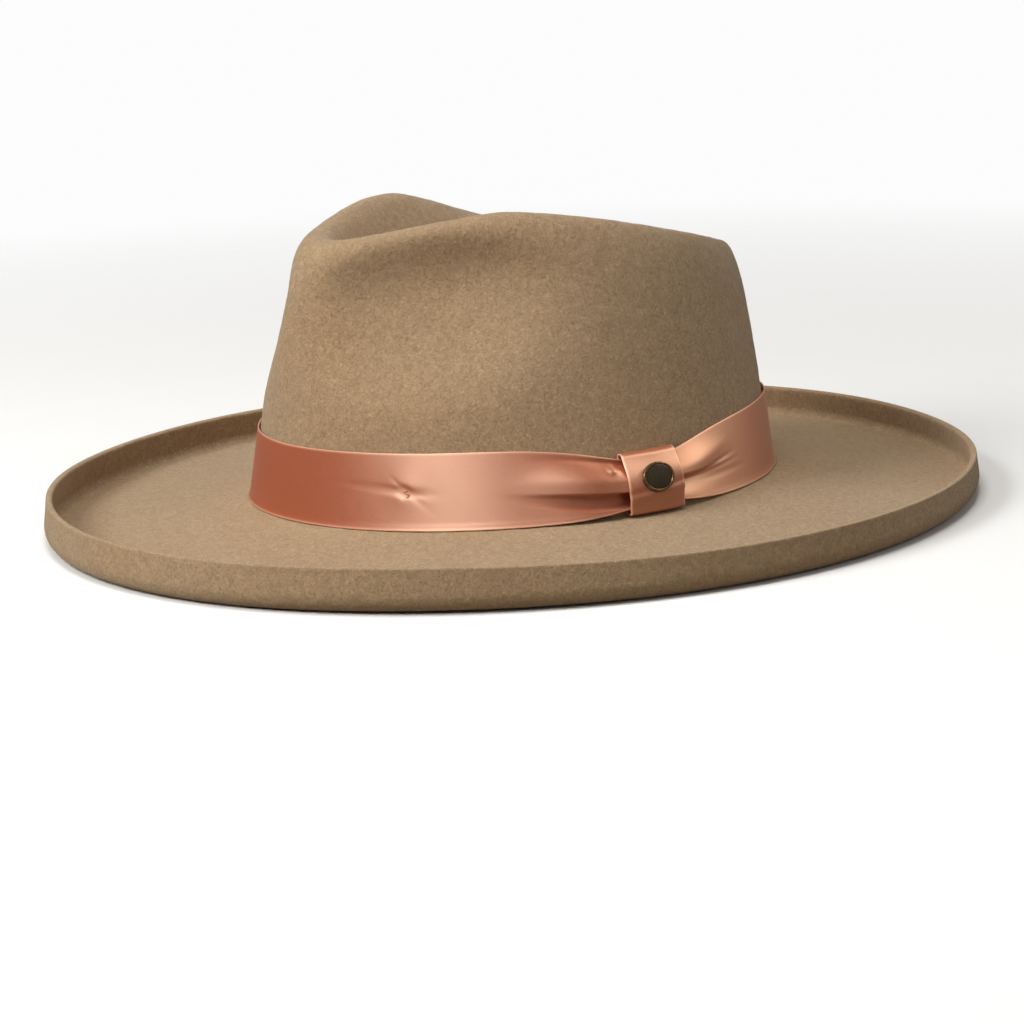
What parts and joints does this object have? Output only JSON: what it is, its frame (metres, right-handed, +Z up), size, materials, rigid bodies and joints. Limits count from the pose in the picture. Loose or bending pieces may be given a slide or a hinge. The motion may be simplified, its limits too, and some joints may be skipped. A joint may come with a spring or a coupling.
{
  "type": "wide-brim felt fedora hat",
  "caption": "Wide-brim wool felt fedora with a teardrop crown, rolled brim edge, satin ribbon band with a keeper and plain badge, sweatband and lining.",
  "frame": {"origin": "under the middle of the brim, on the surface the brim rests on", "axes": "+Z up through the crown, -Y towards the front of the hat, +X towards the wearer's left, where the band's keeper is"},
  "size_m": [0.3308, 0.367, 0.1213],
  "materials": {
    "felt": "brushed wool felt, mottled tan",
    "ribbon": "satin ribbon, dusty terracotta",
    "band_thread": "matching sewing thread",
    "badge_brass": "antique brass",
    "badge_enamel": "dark enamel",
    "sweatband_leather": "smooth sheepskin, brown",
    "reed_plastic": "extruded cord",
    "trim_tape": "grosgrain tape, dark brown",
    "sweatband_thread": "tan machine thread",
    "lining_satin": "lining satin, dark taupe",
    "label": "blank woven tape"
  },
  "bodies": {
    "root": {"felt_body": "felt", "hat_band": "ribbon", "band_keeper": "ribbon", "band_join_stitches": "band_thread", "keeper_stitches": "band_thread", "band_tack_stitches": "band_thread", "badge_rim": "badge_brass", "badge_inlay": "badge_enamel", "badge_backing": "badge_brass", "sweatband": "sweatband_leather", "sweatband_reed": "reed_plastic", "reed_tape": "trim_tape", "sweatband_stitches": "sweatband_thread", "sweatband_seam_tape": "trim_tape", "sweatband_bow": "trim_tape", "lining_side": "lining_satin", "lining_tip": "lining_satin", "lining_piping": "lining_satin", "size_label": "label", "care_label": "label"}
  },
  "joints": []
}
